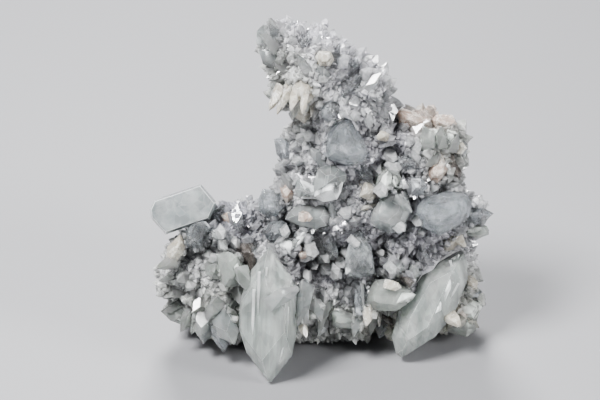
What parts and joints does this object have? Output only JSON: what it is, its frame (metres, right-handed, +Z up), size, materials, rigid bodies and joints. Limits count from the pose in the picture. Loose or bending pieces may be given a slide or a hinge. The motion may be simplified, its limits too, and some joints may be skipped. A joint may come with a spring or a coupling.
{
  "type": "apophyllite crystal specimen",
  "caption": "Apophyllite specimen: glassy milky crystals, large and small, on a druse-coated rock matrix that stands on a flat cut.",
  "frame": {"origin": "on the flat cut under the rock, just inside its front edge", "axes": "+Z up, -Y towards the show side, +X to the right as the show side is looked at"},
  "size_m": [0.1118, 0.075, 0.1128],
  "materials": {
    "apophyllite_milky": "glassy, clouded with fine veils",
    "apophyllite_blue_grey": "glassy, clear with a grey-blue cast",
    "apophyllite_pale_green": "glassy, faintly green",
    "cream_crystal": "pearly, translucent cream",
    "peach_stilbite": "pearly peach",
    "smoky_crystal": "glassy, smoky brown",
    "druse_matrix": "rock coated with small glassy crystals"
  },
  "bodies": {
    "root": {"back_large": "apophyllite_milky", "back_left": "apophyllite_pale_green", "back_right": "apophyllite_blue_grey", "beige_right": "cream_crystal", "block_left": "apophyllite_milky", "blue_grey_left": "apophyllite_blue_grey", "bluish_tower": "apophyllite_blue_grey", "bright_drop_front": "apophyllite_milky", "bright_side_front": "apophyllite_pale_green", "brown_shoulder": "peach_stilbite", "brown_waist": "peach_stilbite", "clear_edge_waist": "apophyllite_blue_grey", "clear_flank_right": "apophyllite_blue_grey", "clear_pair_right": "apophyllite_milky", "cream_cluster_tower": "cream_crystal", "cream_flank_right": "cream_crystal", "cream_hexagon": "cream_crystal", "cream_left": "cream_crystal", "cream_oval": "cream_crystal", "cream_waist": "cream_crystal", "crystal_front_left": "apophyllite_milky", "crystal_front_right": "apophyllite_milky", "drop_left_glassy": "apophyllite_milky", "drop_left_inner": "apophyllite_blue_grey", "drop_left_middle": "apophyllite_milky", "drop_left_outer": "apophyllite_pale_green", "fan_left": "apophyllite_pale_green", "gem_right": "apophyllite_milky", "glassy_shoulder_left": "apophyllite_blue_grey", "glassy_waist": "apophyllite_blue_grey", "grey_left_middle": "apophyllite_blue_grey", "grey_right": "apophyllite_blue_grey", "leaf_pair": "apophyllite_pale_green", "lens_shoulder": "apophyllite_blue_grey", "low_cluster_right": "apophyllite_pale_green", "low_drop_right": "apophyllite_blue_grey", "matrix": "druse_matrix", "milky_centre": "apophyllite_milky", "milky_waist": "apophyllite_milky", "mirror_left": "apophyllite_milky", "pale_pair_centre": "apophyllite_milky", "pale_pair_tower": "apophyllite_milky", "pale_shoulder": "apophyllite_pale_green", "peach_blade_centre": "peach_stilbite", "peach_shoulder_left": "peach_stilbite", "peach_shoulder_right": "peach_stilbite", "pendant_front": "apophyllite_milky", "plate_front": "apophyllite_pale_green", "plate_rim_right": "apophyllite_pale_green", "prism_waist_right": "apophyllite_blue_grey", "pyramid_front": "apophyllite_blue_grey", "rim_tip_right": "apophyllite_blue_grey", "round_tip_shoulder": "apophyllite_milky", "shell_front": "apophyllite_pale_green", "smoky_flat_right": "smoky_crystal", "smoky_shoulder": "smoky_crystal", "smoky_wedge_left": "smoky_crystal", "spear_left": "apophyllite_pale_green", "teardrop_centre": "apophyllite_blue_grey", "tower_spike": "apophyllite_milky"}
  },
  "joints": []
}
